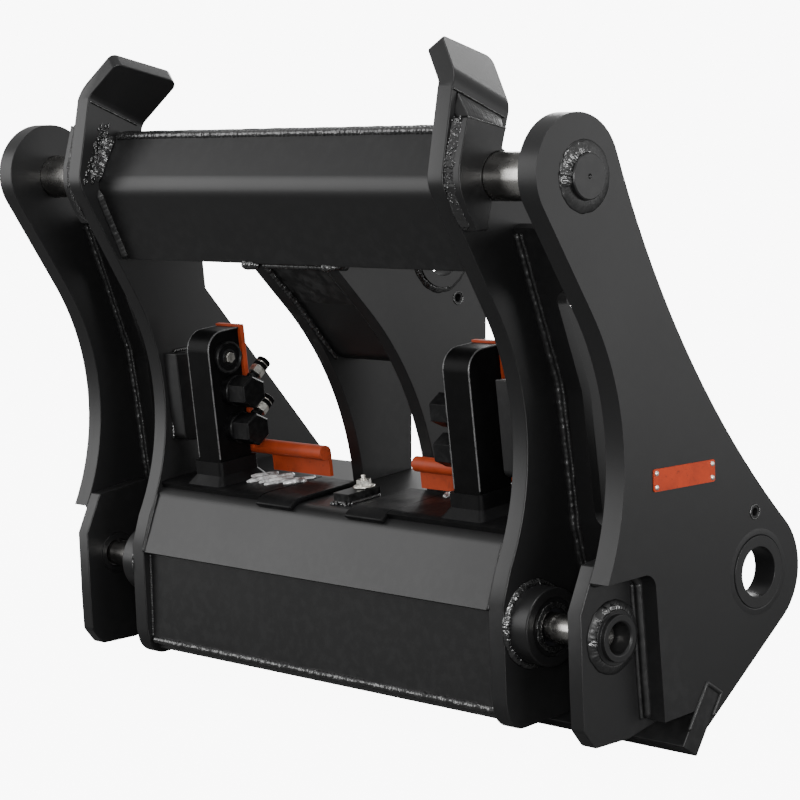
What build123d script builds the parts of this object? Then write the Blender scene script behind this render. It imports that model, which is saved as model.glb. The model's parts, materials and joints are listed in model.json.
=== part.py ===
from build123d import *
import math
import os

# Hydraulic quick coupler for a wheel loader, in millimetres.
# X runs across the machine, Y runs rearward to the loader, Z is up.
# The side outlines are drawn as (Y, Z) points counted from the axis of the hook pins.
# Everything on the right is drawn once and mirrored to the left.

# Widths across the frame
INNER_SPAN = 932.0        # clear width between the two inner plates
INNER_T = 35.0            # inner plate
HOOK_GAP = 174.0          # gap between inner and outer plate, where a hook or ear goes
OUTER_T = 40.0            # outer plate
LUG_T = 30.0              # lock pin lug, lapped on the inboard face of the outer plate
PAD_T = 30.0              # pad that thickens the inner plate round the hook pin

INNER_IN = INNER_SPAN / 2
INNER_OUT = INNER_IN + INNER_T
OUTER_IN = INNER_OUT + HOOK_GAP
OUTER_OUT = OUTER_IN + OUTER_T
LUG_IN = OUTER_IN - LUG_T
PAD_OUT = INNER_OUT + PAD_T

# Hook pins
HOOK_PIN_D = 80.0
HOOK_PIN_END_D = 73.0     # turned-down end that stands out of the outer plate
HOOK_PIN_END_OUT = 12.0   # how far it stands out
HOOK_PIN_STEP_IN = 8.0    # the step lies this deep in the plate, under the weld
CENTRE_HOLE_D = 8.0
CENTRE_HOLE_DEPTH = 10.0
PIN_CHAMFER = 2.0

# Outer plate outline
HEAD_C = (-13.0, 5.0)
HEAD_R = 95.0
LIFT_C = (438.0, -666.0)  # lift arm pin axis
LOBE_R = 109.5
REAR_LEAN_TOP = 68.0      # degrees below level, at the top of the rear edge
REAR_LEAN_LOW = 43.4
FRONT_LEAN = 56.0         # degrees below level, under the head
BELLY_LEAN = 40.3         # degrees, underside running forward from the lobe
WAIST_TOP_Z = -214.0
CUT_FRONT = (62.0, -650.0)
CUT_TOP_REAR = (175.0, -641.0)
CUT_BOTTOM = (203.0, -891.0)
CUT_R = 25.0
BAR_CORE = (292.0, -881.0)  # points inside the stop bar, where the plates that it notches end
BAR_CORE_LOW = (290.0, -932.0)

# Lift arm and tilt link bores
LIFT_BORE_D = 86.0
LIFT_BUSH_D = 124.0
LIFT_BUSH_PROUD = 2.0
KEEPER_HOLE_D = 14.0
LIFT_KEEPER_C = (428.0, -563.0)
TILT_C = (272.0, -140.0)
TILT_BORE_D = 75.0
TILT_BUSH_D = 118.0
TILT_BUSH_PROUD = 8.0
TILT_KEEPER_C = (317.0, -219.0)

# Inner plate outline
NOSE_C = (-40.0, 0.0)
NOSE_R = 60.0
NOSE_FRONT = 168.0        # angle on the nose where the front edge of the horn leaves it
INNER_LEAN = 58.0
INNER_WAIST_TOP_Z = -225.0
INNER_WAIST_END = (58.0, -648.0)
SHIN_TOP = (41.0, -706.0)
SHIN_LOW = (50.0, -870.0)
FOOT = (62.0, -922.0)
FOOT_R = 38.0
SOLE_REAR = (296.0, -893.0)
INNER_LOBE_R = 125.0
INNER_BELLY_LEAN = 36.2
INNER_REAR_LEAN = 48.2
INNER_BACK_LOW = (200.0, -215.0)
INNER_BACK_MID = (192.0, -150.0)
INNER_NECK = [(37.0, 46.0), (66.0, 30.0)]  # behind the hook pin

# Horn: the top of the inner plate, bent inboard
HORN_FRONT = (-77.5, 143.6)
HORN_WIDTH = 136.0
HORN_SLOPE = 22.0         # degrees that the bend line falls towards the rear
HORN_BEND = 40.0          # degrees inboard
HORN_BEND_R = 20.0        # inside radius of the bend
HORN_LENGTH = 74.0        # flat length above the bend, at the front edge
HORN_REAR_LENGTH = 101.0  # the same at the rear edge
HORN_CORNER_R = 15.0

# Pad round the hook pin, on the outboard face of the inner plate
PAD_POINTS = [(-72.0, 94.0), (-91.0, 18.0), (-91.0, -20.0), (-68.0, -64.0), (-50.0, -88.0),
              (-28.0, -86.0), (5.0, 45.0), (15.0, 77.0)]
PAD_R = 80.0              # on the corners of its front edge

# Lug plate and its bush
LUG_POINTS = [(73.0, -624.0), (41.0, -700.0), (47.0, -826.0), (52.0, -893.0), (78.0, -923.0),
              (160.0, -918.0), (248.0, -893.0), (240.0, -752.0), (197.0, -601.0)]
LUG_TOE_R = 14.0

LOCK_C = (117.0, -744.0)  # lock pin axis
LOCK_PIN_D = 50.0
LOCK_PIN_CHAMFER = 5.0
LOCK_PIN_GAP = 12.0       # between the barrel and the pin drawn fully in
LOCK_STROKE = 116.0
LOCK_TIP = 15.0           # the tip rests this far inside the lug, past its inboard face
BUSH_BORE_CLEAR = 1.0     # radial room in the lug bush
BUSH_BORE_CHAMFER = 3.0
BUSH_D = 78.0
BUSH_SHOULDER_D = 92.0
BUSH_SHOULDER = 9.0
BUSH_PROUD = 18.0

# Boss, guide bush and wiper where the lock pin leaves the inner plate
BOSS_D = 133.0
BOSS_PROUD = 45.0
BOSS_SPIGOT_D = 78.0
BOSS_TAIL = 26.0          # spigot length inboard of the inner plate
BOSS_RECESS_D = 100.0
BOSS_RECESS = 6.0
GUIDE_D = 64.0
GUIDE_CLEAR = 0.05        # radial running clearance of the lock pin
WIPER_L = 12.0
WIPER_CLEAR = 0.4

# Lock cylinder inside the lower beam
ROD_D = 34.0
ROD_CLEAR = 0.05
ROD_SPIGOT_D = 24.0       # end of the rod inside the lock pin
ROD_SPIGOT_L = 40.0
BARREL_D = 74.0
BARREL_BORE = 60.0
DIVIDER_HALF = 22.0
GLAND_L = 28.0
PISTON_L = 28.0
PISTON_CLEAR = 0.1
PISTON_GAP = 4.0          # from piston to gland with the pin out
PORT_D = 26.0
PORT_BORE = 10.0
PORT_UP = 12.0
PORT_IN = 14.0            # from divider or gland to the middle of a port
SADDLE_IN = 40.0          # from the end of the barrel to the middle of a saddle
SADDLE_T = 20.0
SADDLE_HALF = 30.0

# Transverse stop bar
BAR_TOE = (284.0, -960.0)
BAR_WIDTH = 42.0
BAR_DEPTH = 116.0
BAR_LEAN = 59.0           # degrees from level, along the long side

# Upper crossbeam
CROSS_WALL = 14.0
CROSS_TOP = (-17.0, 74.0)
CROSS_NOSE = (-60.0, -18.0)
CROSS_BOTTOM = (9.0, -156.0)
CROSS_NOSE_R = 34.0
CROSS_REAR_Y = 56.0
CROSS_REAR_R = 22.0
CROSS_LIP = 11.0          # the front sheet reaches this far below the rear channel
CROSS_SHY = 6.0           # the top of the rear channel lies this far below the front sheet

# Lower beam
BEAM_EDGE = (82.0, -594.0)
BEAM_SLOPE = 7.8          # degrees that the top rises to the rear
BEAM_REAR_Y = 392.0
COVER_T = 15.0
COVER_STEP = (41.0, -717.0)
COVER_R = 22.0
SHELL_T = 18.0
SHELL_TOP = (57.0, -680.0)
SHELL_LOW = (63.0, -887.0)
BOTTOM_T = 20.0
BOTTOM_FRONT_Y = 76.0
REAR_T = 15.0
REAR_Y = 312.0
REAR_FOOT_Z = -858.0

# Back webs between inner and outer plates
WEB_T = 20.0
WEB_POINTS = [(293.0, -880.0), (207.0, -582.0), (172.0, -357.0), (62.0, -84.0)]
WEB_R = 90.0
WINDOW_W = 66.0
WINDOW_TOP = -185.0
WINDOW_LOW = -583.0
WINDOW_R = 25.0

# Tilt link plates and the web between them
TILT_CLEAR = 168.0        # clear width for the link's end
TILT_T = 30.0
TILT_LOBE_R = 95.0
TILT_REAR_Y = 389.0
TILT_FRONT = [(12.0, -151.0), (99.0, -236.0), (267.0, -570.0)]
TILT_BACK_RISE = 20.0     # degrees that the top edge rises towards the crossbeam
TILT_BACK_FALL = 80.0     # degrees below level, behind the lobe
TILT_BITE = 9.0           # the outline ends this deep in the beam cover, which is cut out of it
TILT_WEB_T = 20.0
TILT_WEB_POINTS = [(256.0, -337.0), (202.0, -331.0), (107.0, -227.0), (20.0, -147.0)]
TILT_WEB_R = 26.0

# Coupling towers; s is measured along the top of the beam from its front edge, h square to it
TOWER_ROOM = 88.0         # between tower and inner plate
TOWER_W = 63.0
TOWER_S = 36.0
TOWER_D = 78.0
TOWER_TOP = 298.0
TOWER_WALL = 8.0
TOWER_R = 38.0
TOWER_INSET = 2.0         # side faces lie this deep behind the rim
TOWER_RIM = 5.0
CAP_S = 79.0
CAP_UP = 64.0             # above the upper adapter
CAP_D = 62.0
CAP_T = 8.0
CAP_BOLT_D = 18.0
CAP_BOLT_T = 6.0
ADAPTER_S = 83.0
ADAPTER_LOW_H = 111.0
ADAPTER_PITCH = 71.0
ADAPTER_SHANK_D = 30.0
ADAPTER_D = 58.0
ADAPTER_COLLAR = 24.0
ADAPTER_AF = 53.0
ADAPTER_L = 44.0
ADAPTER_CHAMFER = 3.0
NIPPLE_LEAN = 52.0        # degrees rearward of the tower's own upright
NIPPLE_ROOT = 19.0
NIPPLE_IN = 33.0          # from the tower's side face to the axis of the nipple
NIPPLE_NECK_D = 17.0
NIPPLE_NECK = 24.0
NIPPLE_NUT_AF = 25.0
NIPPLE_NUT = 14.0
NIPPLE_D = 26.0
NIPPLE_END = 20.0
NIPPLE_BORE = 12.0
NIPPLE_DEPTH = 20.0

# Rubber boots and mats on the beam
MAT_T = 10.0
MAT_DROP = 26.0
MAT_WRAP = 45.0           # degrees that the mats follow the bend of the cover
BOOT_WRAP = 23.0          # the same for the boots
MAT_DEPTH = 160.0
BOOT_IN = 172.0
BOOT_CLEAR = 2.0          # room beside the inner plate
COLLAR_WALL = 8.0
COLLAR_TOP = 52.0
COLLAR_FOOT = 26.0
FLARE = 26.0
MAT_IN = 73.0
MAT_LAP = 1.0             # gap between boot and mat
RUBBER_GAP = 0.5

# Lid behind each tower, with its hinge
LID_T = 14.0
LID_GAP = 1.0
LID_OVER = 4.0
LID_R = 6.0
HINGE_S = 133.0
HINGE_H = 64.5
TUBE_D = 28.0
TUBE_TIP = 123.0
STRAP_H = 14.0
FLAP_T = 8.0
FLAP_DEPTH = 46.0
FLAP_END = 285.0
HINGE_PIN_D = 16.0
HINGE_CLEAR = 0.1
HINGE_PIN_REACH = 150.0
EAR_T = 14.0
EAR_GAP = 5.0
EAR_HALF = 16.0

# Guard bars on the inner plates
GUARD_W = 38.0
GUARD_FRONT_Y = 117.0
GUARD_DEPTH = 46.0
GUARD_TOP = -336.0
GUARD_LOW = -505.0
GUARD_R = 16.0

# Keeper plate on the lower beam
KEEPER_X = 8.0
KEEPER_S = 46.0
KEEPER_W = 42.0
KEEPER_L = 78.0
KEEPER_T = 18.0
KEEPER_BOLT_S = 104.0
KEEPER_BOLT_D = 16.0
KEEPER_BITE = 12.0        # the bolt reaches this far into the beam cover
KEEPER_HEAD_AF = 24.0
KEEPER_HEAD_T = 10.0
KEEPER_WASHER_D = 32.0
KEEPER_WASHER_T = 4.0

TOWER_IN = INNER_IN - TOWER_ROOM - TOWER_W
CAP_H = ADAPTER_LOW_H + ADAPTER_PITCH + CAP_UP

# The origin stands on the floor, under the middle of the coupler
REST_Z = -BAR_TOE[1]
MID_Y = (LIFT_C[0] + INNER_LOBE_R + HEAD_C[0] - HEAD_R) / 2


def along(angle):
    """Unit vector at an angle in degrees, from +Y towards +Z."""
    return (math.cos(math.radians(angle)), math.sin(math.radians(angle)))


def plus(point, vector, length=1.0):
    return (point[0] + vector[0] * length, point[1] + vector[1] * length)


def on_circle(centre, radius, angle):
    return plus(centre, along(angle), radius)


def bowed(start, end, sag):
    """Arc from start to end that bulges by sag to the left of the way it runs."""
    dy = end[0] - start[0]
    dz = end[1] - start[1]
    length = math.hypot(dy, dz)
    middle = ((start[0] + end[0]) / 2 - dz / length * sag, (start[1] + end[1]) / 2 + dy / length * sag)
    return ThreePointArc(start, middle, end)


def sag_for(start, end, tangent):
    """Sag of the arc that leaves start at the tangent angle, in degrees."""
    chord = math.degrees(math.atan2(end[1] - start[1], end[0] - start[0]))
    half = math.radians(tangent - chord) / 2
    return math.dist(start, end) / 2 * math.tan(half)


def side_face(edges):
    return make_face(Curve() + edges)


def rounded(face, corners):
    """Rounds the corners of a flat face; corners maps each corner point to its radius."""
    for point, radius in corners:
        corner = min(face.vertices(), key=lambda v: math.hypot(v.X - point[0], v.Y - point[1]))
        face = fillet([corner], radius)
    return face


def across(face, start, width):
    """Extrudes a side outline along X from start."""
    return extrude(Plane.YZ.offset(start) * face, width)


def bar_between(centre, radius, start, end):
    """Round bar along X about a (Y, Z) centre."""
    return across(Pos(*centre) * Circle(radius), start, end - start)


def bent_sheet(points, thickness, radius):
    """Sheet to the right of its run, bent at every inner point with this inside radius."""
    normals = []
    for a, b in zip(points, points[1:]):
        length = math.dist(a, b)
        normals.append(((b[1] - a[1]) / length, (a[0] - b[0]) / length))
    shifted = [plus(points[0], normals[0], thickness)]
    bends = []
    for point, m, n in zip(points[1:], normals, normals[1:]):
        share = thickness / (1 + m[0] * n[0] + m[1] * n[1])
        shifted.append(plus(point, (m[0] + n[0], m[1] + n[1]), share))
        turns_left = m[0] * n[1] - m[1] * n[0] > 0
        bends.append((point, radius if turns_left else radius + thickness))
        bends.append((shifted[-1], radius + thickness if turns_left else radius))
    shifted.append(plus(points[-1], normals[-1], thickness))
    face = make_face(Polyline(*points, *reversed(shifted), close=True))
    return rounded(face, bends)


def main_solid(part):
    """The largest solid, where a cut leaves an offcut behind."""
    return max(part.solids(), key=lambda s: s.volume)


def block(x_from, x_to, s_from, s_to, h_from, h_to):
    """Box in the frame of the beam's top."""
    middle = Pos((x_from + x_to) / 2, (s_from + s_to) / 2, (h_from + h_to) / 2)
    return middle * Box(x_to - x_from, s_to - s_from, h_to - h_from)


def rod(radius, length, x, s, h):
    """Round bar along X in the frame of the beam's top, starting at x."""
    return Pos(x + length / 2, s, h) * Rot(0, 90, 0) * Cylinder(radius, length)


def on_beam(part):
    """Puts a piece drawn with Y along the beam's top and Z square to it in its place."""
    return Pos(0, *BEAM_EDGE) * Rot(BEAM_SLOPE, 0, 0) * part


def save(name, *parts):
    """Moves a finished piece, or group of like pieces, to the floor frame and writes it."""
    place = Pos(0, -MID_Y, REST_Z)
    solids = [place * solid for part in parts for solid in part.solids()]
    shape = solids[0] if len(solids) == 1 else Compound(solids)
    export_step(shape, f"parts/{name}.step")


def mirrored(part):
    return mirror(part, about=Plane.YZ)


def save_pair(name, part):
    save(f"{name}_right", part)
    save(f"{name}_left", mirrored(part))


def save_both(name, *parts):
    """One node with the pieces of both sides."""
    save(name, *parts, *[mirrored(part) for part in parts])


def stop_bar():
    depth = along(BAR_LEAN)
    width = along(BAR_LEAN + 90)
    rear_top = plus(BAR_TOE, depth, BAR_DEPTH)
    front_low = plus(BAR_TOE, width, BAR_WIDTH)
    front_top = plus(front_low, depth, BAR_DEPTH)
    section = make_face(Polyline(BAR_TOE, rear_top, front_top, front_low, close=True))
    return across(section, -OUTER_OUT, 2 * OUTER_OUT)


def outer_plate(bar):
    rear_top = on_circle(HEAD_C, HEAD_R, 90 - REAR_LEAN_TOP)
    rear_low = on_circle(LIFT_C, LOBE_R, 90 - REAR_LEAN_LOW)
    belly = on_circle(LIFT_C, LOBE_R, BELLY_LEAN - 90)
    chin = on_circle(HEAD_C, HEAD_R, 270 - FRONT_LEAN)
    fall = (chin[1] - WAIST_TOP_Z) / math.tan(math.radians(FRONT_LEAN))
    waist = (chin[0] + fall, WAIST_TOP_Z)
    outline = side_face([
        ThreePointArc(chin, on_circle(HEAD_C, HEAD_R, 120), rear_top),
        bowed(rear_top, rear_low, sag_for(rear_top, rear_low, -REAR_LEAN_TOP)),
        ThreePointArc(rear_low, on_circle(LIFT_C, LOBE_R, 0), belly),
        Polyline(belly, BAR_CORE_LOW, BAR_CORE, CUT_BOTTOM, CUT_TOP_REAR, CUT_FRONT),
        bowed(CUT_FRONT, waist, -sag_for(waist, CUT_FRONT, -FRONT_LEAN)),
        Line(waist, chin),
    ])
    outline = rounded(outline, [(CUT_TOP_REAR, CUT_R)])
    plate = across(outline, OUTER_IN, OUTER_T)
    plate -= bar_between((0, 0), HOOK_PIN_D / 2, OUTER_IN, OUTER_OUT)
    plate -= bar_between(LIFT_C, LIFT_BUSH_D / 2, OUTER_IN, OUTER_OUT)
    plate -= bar_between(LIFT_KEEPER_C, KEEPER_HOLE_D / 2, OUTER_IN, OUTER_OUT)
    return main_solid(plate - bar)


def lug_plate(bar):
    outline = make_face(Polyline(*LUG_POINTS, close=True))
    outline = rounded(outline, [(LUG_POINTS[3], LUG_TOE_R), (LUG_POINTS[4], LUG_TOE_R), (LUG_POINTS[8], LUG_TOE_R)])
    plate = across(outline, LUG_IN, LUG_T)
    return plate - bar_between(LOCK_C, BUSH_D / 2, LUG_IN, OUTER_IN) - bar


def lug_bush():
    end = OUTER_IN + BUSH_PROUD
    body = bar_between(LOCK_C, BUSH_D / 2, LUG_IN, end)
    body += bar_between(LOCK_C, BUSH_SHOULDER_D / 2, OUTER_IN, OUTER_IN + BUSH_SHOULDER)
    body -= bar_between(LOCK_C, LOCK_PIN_D / 2 + BUSH_BORE_CLEAR, LUG_IN, end)
    mouths = body.edges().filter_by(GeomType.CIRCLE)
    mouths = [e for e in mouths if abs(e.radius - LOCK_PIN_D / 2 - BUSH_BORE_CLEAR) < 0.1]
    return chamfer(mouths, BUSH_BORE_CHAMFER)


def horn():
    reach = max(HORN_LENGTH, HORN_REAR_LENGTH)
    bend = math.radians(HORN_BEND)
    far = HORN_BEND_R + INNER_T
    turn = along(90 + HORN_BEND)
    inner_end = (-HORN_BEND_R + HORN_BEND_R * math.cos(bend), HORN_BEND_R * math.sin(bend))
    outer_end = (-HORN_BEND_R + far * math.cos(bend), far * math.sin(bend))
    inner_mid = plus((-HORN_BEND_R, 0), along(HORN_BEND / 2), HORN_BEND_R)
    outer_mid = plus((-HORN_BEND_R, 0), along(HORN_BEND / 2), far)
    profile = side_face([
        ThreePointArc((0, 0), inner_mid, inner_end),
        Polyline(inner_end, plus(inner_end, turn, reach), plus(outer_end, turn, reach), outer_end),
        ThreePointArc(outer_end, outer_mid, (INNER_T, 0)),
        Line((INNER_T, 0), (0, 0)),
    ])
    fall = along(-HORN_SLOPE)
    plane = Plane(origin=(INNER_IN, *HORN_FRONT), x_dir=(1, 0, 0), z_dir=(0, -fall[0], -fall[1]))
    part = extrude(plane * profile, -HORN_WIDTH)
    rise = along(90 - HORN_SLOPE)
    root = (INNER_IN + inner_end[0], *plus(HORN_FRONT, rise, inner_end[1]))
    upward = Vector(turn[0], turn[1] * rise[0], turn[1] * rise[1])
    rearward = Vector(0, fall[0], fall[1])
    flap = Plane(origin=root, x_dir=rearward, z_dir=rearward.cross(upward))
    slant = HORN_REAR_LENGTH - HORN_LENGTH
    over = make_face(Polyline((-HORN_WIDTH, HORN_LENGTH - slant), (2 * HORN_WIDTH, HORN_LENGTH + 2 * slant),
                              (2 * HORN_WIDTH, 3 * reach), (-HORN_WIDTH, 3 * reach), close=True))
    part -= extrude(flap * over, 2 * INNER_T, both=True)
    corners = [e for e in part.edges().filter_by(GeomType.LINE) if abs(e.length - INNER_T) < 0.1]
    corners.sort(key=lambda e: e.center().Z)
    return fillet(corners[-2:], HORN_CORNER_R)


def inner_plate(bar):
    chin = on_circle(NOSE_C, NOSE_R, 270 - INNER_LEAN)
    brow = on_circle(NOSE_C, NOSE_R, NOSE_FRONT)
    fall = (chin[1] - INNER_WAIST_TOP_Z) / math.tan(math.radians(INNER_LEAN))
    waist = (chin[0] + fall, INNER_WAIST_TOP_Z)
    rear_low = on_circle(LIFT_C, INNER_LOBE_R, 90 - INNER_REAR_LEAN)
    belly = on_circle(LIFT_C, INNER_LOBE_R, INNER_BELLY_LEAN - 90)
    run = (belly[0] - SOLE_REAR[0]) / math.cos(math.radians(INNER_BELLY_LEAN))
    inside_bar = plus(belly, along(180 + INNER_BELLY_LEAN), run)
    horn_rear = plus(HORN_FRONT, along(-HORN_SLOPE), HORN_WIDTH)
    outline = side_face([
        ThreePointArc(chin, on_circle(NOSE_C, NOSE_R, 190), brow),
        Polyline(brow, HORN_FRONT, horn_rear, *INNER_NECK, INNER_BACK_MID, INNER_BACK_LOW, rear_low),
        ThreePointArc(rear_low, on_circle(LIFT_C, INNER_LOBE_R, 0), belly),
        Polyline(belly, inside_bar, SOLE_REAR, FOOT, SHIN_LOW, SHIN_TOP, INNER_WAIST_END),
        bowed(INNER_WAIST_END, waist, -sag_for(waist, INNER_WAIST_END, -INNER_LEAN)),
        Line(waist, chin),
    ])
    outline = rounded(outline, [(FOOT, FOOT_R)])
    plate = across(outline, INNER_IN, INNER_T)
    plate -= bar_between((0, 0), HOOK_PIN_D / 2, INNER_IN, INNER_OUT)
    plate -= bar_between(LOCK_C, BOSS_SPIGOT_D / 2, INNER_IN, INNER_OUT)
    plate -= bar_between(LIFT_C, LIFT_BUSH_D / 2, INNER_IN, INNER_OUT)
    return main_solid(plate - bar) + horn()


def wear_pad():
    outline = rounded(make_face(Polyline(*PAD_POINTS, close=True)), [(point, PAD_R) for point in PAD_POINTS[1:4]])
    pad = across(outline, INNER_OUT, PAD_T)
    return pad - bar_between((0, 0), HOOK_PIN_D / 2, INNER_OUT, PAD_OUT)


def hook_pin():
    step = OUTER_OUT - HOOK_PIN_STEP_IN
    tip = OUTER_OUT + HOOK_PIN_END_OUT
    pin = bar_between((0, 0), HOOK_PIN_D / 2, INNER_IN, step)
    end = bar_between((0, 0), HOOK_PIN_END_D / 2, step, tip)
    end = chamfer(end.edges().sort_by(Axis.X)[-1], PIN_CHAMFER)
    hole = bar_between((0, 0), CENTRE_HOLE_D / 2, tip - CENTRE_HOLE_DEPTH, tip)
    return pin + end - hole


def ring(centre, outer_d, bore_d, start, end):
    return bar_between(centre, outer_d / 2, start, end) - bar_between(centre, bore_d / 2, start, end)


def lock_boss():
    face = INNER_OUT + BOSS_PROUD
    tail = INNER_IN - BOSS_TAIL
    flange = bar_between(LOCK_C, BOSS_D / 2, INNER_OUT, face)
    flange = chamfer(flange.edges().sort_by(Axis.X)[-1], PIN_CHAMFER)
    body = flange + bar_between(LOCK_C, BOSS_SPIGOT_D / 2, tail, INNER_OUT)
    body -= bar_between(LOCK_C, BOSS_RECESS_D / 2, face - BOSS_RECESS, face)
    return body - bar_between(LOCK_C, GUIDE_D / 2, tail, face)


def crossbeam():
    span = (-INNER_IN, INNER_SPAN)
    front = across(bent_sheet([CROSS_BOTTOM, CROSS_NOSE, CROSS_TOP], CROSS_WALL, CROSS_NOSE_R), *span)
    top = CROSS_TOP[1] - CROSS_SHY
    low = CROSS_BOTTOM[1] + CROSS_LIP
    run = [(CROSS_TOP[0] + 4, top), (CROSS_REAR_Y, top), (CROSS_REAR_Y, low), (CROSS_BOTTOM[0] - 1, low)]
    rear = across(bent_sheet(run, CROSS_WALL, CROSS_REAR_R - CROSS_WALL), *span)
    return front, main_solid(rear - front)


def beam_top(y, depth):
    """Point under the sloped top of the beam at this Y, so deep in its cover."""
    return (y, BEAM_EDGE[1] + (y - BEAM_EDGE[0]) * math.tan(math.radians(BEAM_SLOPE)) - depth)


def beam_cover():
    run = [COVER_STEP, BEAM_EDGE, beam_top(BEAM_REAR_Y, 0)]
    return across(bent_sheet(run, COVER_T, COVER_R), -INNER_IN, INNER_SPAN)


def beam_plates(cover, bar):
    span = (-INNER_IN, INNER_SPAN)
    shell = Polyline(SHELL_TOP, SHELL_LOW, plus(SHELL_LOW, (SHELL_T, 0)), plus(SHELL_TOP, (SHELL_T, 0)), close=True)
    front = main_solid(across(make_face(shell), *span) - cover)
    floor_top = SHELL_LOW[1]
    floor = Polyline((BOTTOM_FRONT_Y, floor_top), (BAR_CORE[0], floor_top),
                     (BAR_CORE[0], floor_top - BOTTOM_T), (BOTTOM_FRONT_Y, floor_top - BOTTOM_T), close=True)
    bottom = main_solid(across(make_face(floor), *span) - bar)
    wall = Polyline((REAR_Y, REAR_FOOT_Z), (REAR_Y + REAR_T, REAR_FOOT_Z),
                    beam_top(REAR_Y + REAR_T, COVER_T / 2), beam_top(REAR_Y, COVER_T / 2), close=True)
    rear = main_solid(across(make_face(wall), *span) - cover - bar)
    return front, bottom, rear


def back_web(bar):
    web = across(bent_sheet(WEB_POINTS, WEB_T, WEB_R), INNER_OUT, HOOK_GAP)
    middle = (INNER_OUT + OUTER_IN) / 2
    window = Pos(middle, (WINDOW_TOP + WINDOW_LOW) / 2) * RectangleRounded(WINDOW_W, WINDOW_TOP - WINDOW_LOW, WINDOW_R)
    web -= extrude(Plane.XZ * window, -BEAM_REAR_Y)
    return main_solid(web - bar)


def tilt_plate(crossbeam_parts, cover):
    low_rear = (TILT_REAR_Y, beam_top(TILT_REAR_Y, TILT_BITE)[1])
    low_front = beam_top(TILT_FRONT[2][0] + 1, TILT_BITE)
    crown = on_circle(TILT_C, TILT_LOBE_R, 90 - TILT_BACK_RISE)
    back = on_circle(TILT_C, TILT_LOBE_R, 90 - TILT_BACK_FALL)
    drop = (TILT_REAR_Y - back[0]) * math.tan(math.radians(TILT_BACK_FALL))
    wall = CROSS_REAR_Y - CROSS_WALL / 2
    rise = (crown[0] - wall) * math.tan(math.radians(TILT_BACK_RISE))
    flange = CROSS_BOTTOM[1] + CROSS_LIP + CROSS_WALL / 2
    lean = math.degrees(math.atan2(TILT_FRONT[1][1] - TILT_FRONT[0][1], TILT_FRONT[1][0] - TILT_FRONT[0][0]))
    outline = side_face([
        bowed(TILT_FRONT[1], TILT_FRONT[2], sag_for(TILT_FRONT[1], TILT_FRONT[2], lean)),
        Polyline(TILT_FRONT[2], low_front, low_rear, (TILT_REAR_Y, back[1] - drop), back),
        ThreePointArc(back, on_circle(TILT_C, TILT_LOBE_R, 45), crown),
        Polyline(crown, (wall, crown[1] + rise), (wall - CROSS_REAR_R / 4, flange),
                 (TILT_FRONT[0][0] + 8, flange), *TILT_FRONT[:2]),
    ])
    plate = across(outline, TILT_CLEAR / 2, TILT_T)
    plate -= bar_between(TILT_C, TILT_BUSH_D / 2, TILT_CLEAR / 2, TILT_CLEAR / 2 + TILT_T)
    plate -= bar_between(TILT_KEEPER_C, KEEPER_HOLE_D / 2, TILT_CLEAR / 2, TILT_CLEAR / 2 + TILT_T)
    for other in (*crossbeam_parts, cover):
        plate -= other
    return main_solid(plate)


def tilt_web(crossbeam_parts):
    web = across(bent_sheet(TILT_WEB_POINTS, TILT_WEB_T, TILT_WEB_R), -TILT_CLEAR / 2, TILT_CLEAR)
    for other in crossbeam_parts:
        web -= other
    return main_solid(web)


def lock_cylinder():
    """Barrel, glands and saddles; the barrel feeds both pistons and is drawn whole."""
    barrel = bar_between(LOCK_C, BARREL_D / 2, -BARREL_HALF, BARREL_HALF)
    ports = [DIVIDER_HALF + PORT_IN, BARREL_HALF - GLAND_L - PORT_IN]
    places = [Pos(side * x, *LOCK_C) for x in ports for side in (-1, 1)]
    for place in places:
        barrel += place * Pos(0, 0, (BARREL_D / 2 + PORT_UP) / 2) * Cylinder(PORT_D / 2, BARREL_D / 2 + PORT_UP)
    barrel -= bar_between(LOCK_C, BARREL_BORE / 2, DIVIDER_HALF, BARREL_HALF)
    barrel -= bar_between(LOCK_C, BARREL_BORE / 2, -BARREL_HALF, -DIVIDER_HALF)
    for place in places:
        barrel -= place * Pos(0, 0, BARREL_D / 2) * Cylinder(PORT_BORE / 2, BARREL_D)
    gland = ring(LOCK_C, BARREL_BORE, ROD_D + 2 * ROD_CLEAR, BARREL_HALF - GLAND_L, BARREL_HALF)
    middle = BARREL_HALF - SADDLE_IN
    floor = SHELL_LOW[1]
    block_face = Pos(LOCK_C[0], (floor + LOCK_C[1]) / 2) * Rectangle(2 * SADDLE_HALF, LOCK_C[1] - floor)
    saddle = across(block_face, middle - SADDLE_T / 2, SADDLE_T)
    saddle -= bar_between(LOCK_C, BARREL_D / 2, middle - SADDLE_T, middle + SADDLE_T)
    return barrel, gland, main_solid(saddle)


def lock_pin():
    tip = LUG_IN + LOCK_TIP
    pin = bar_between(LOCK_C, LOCK_PIN_D / 2, PIN_ROOT, tip)
    pin = chamfer(pin.edges().sort_by(Axis.X)[-1], LOCK_PIN_CHAMFER)
    return pin - bar_between(LOCK_C, ROD_SPIGOT_D / 2, PIN_ROOT, PIN_ROOT + ROD_SPIGOT_L)


def lock_piston():
    start = BARREL_HALF - GLAND_L - PISTON_GAP - PISTON_L
    body = bar_between(LOCK_C, BARREL_BORE / 2 - PISTON_CLEAR, start, start + PISTON_L)
    body += bar_between(LOCK_C, ROD_D / 2, start + PISTON_L, PIN_ROOT)
    return body + bar_between(LOCK_C, ROD_SPIGOT_D / 2, PIN_ROOT, PIN_ROOT + ROD_SPIGOT_L)


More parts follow.
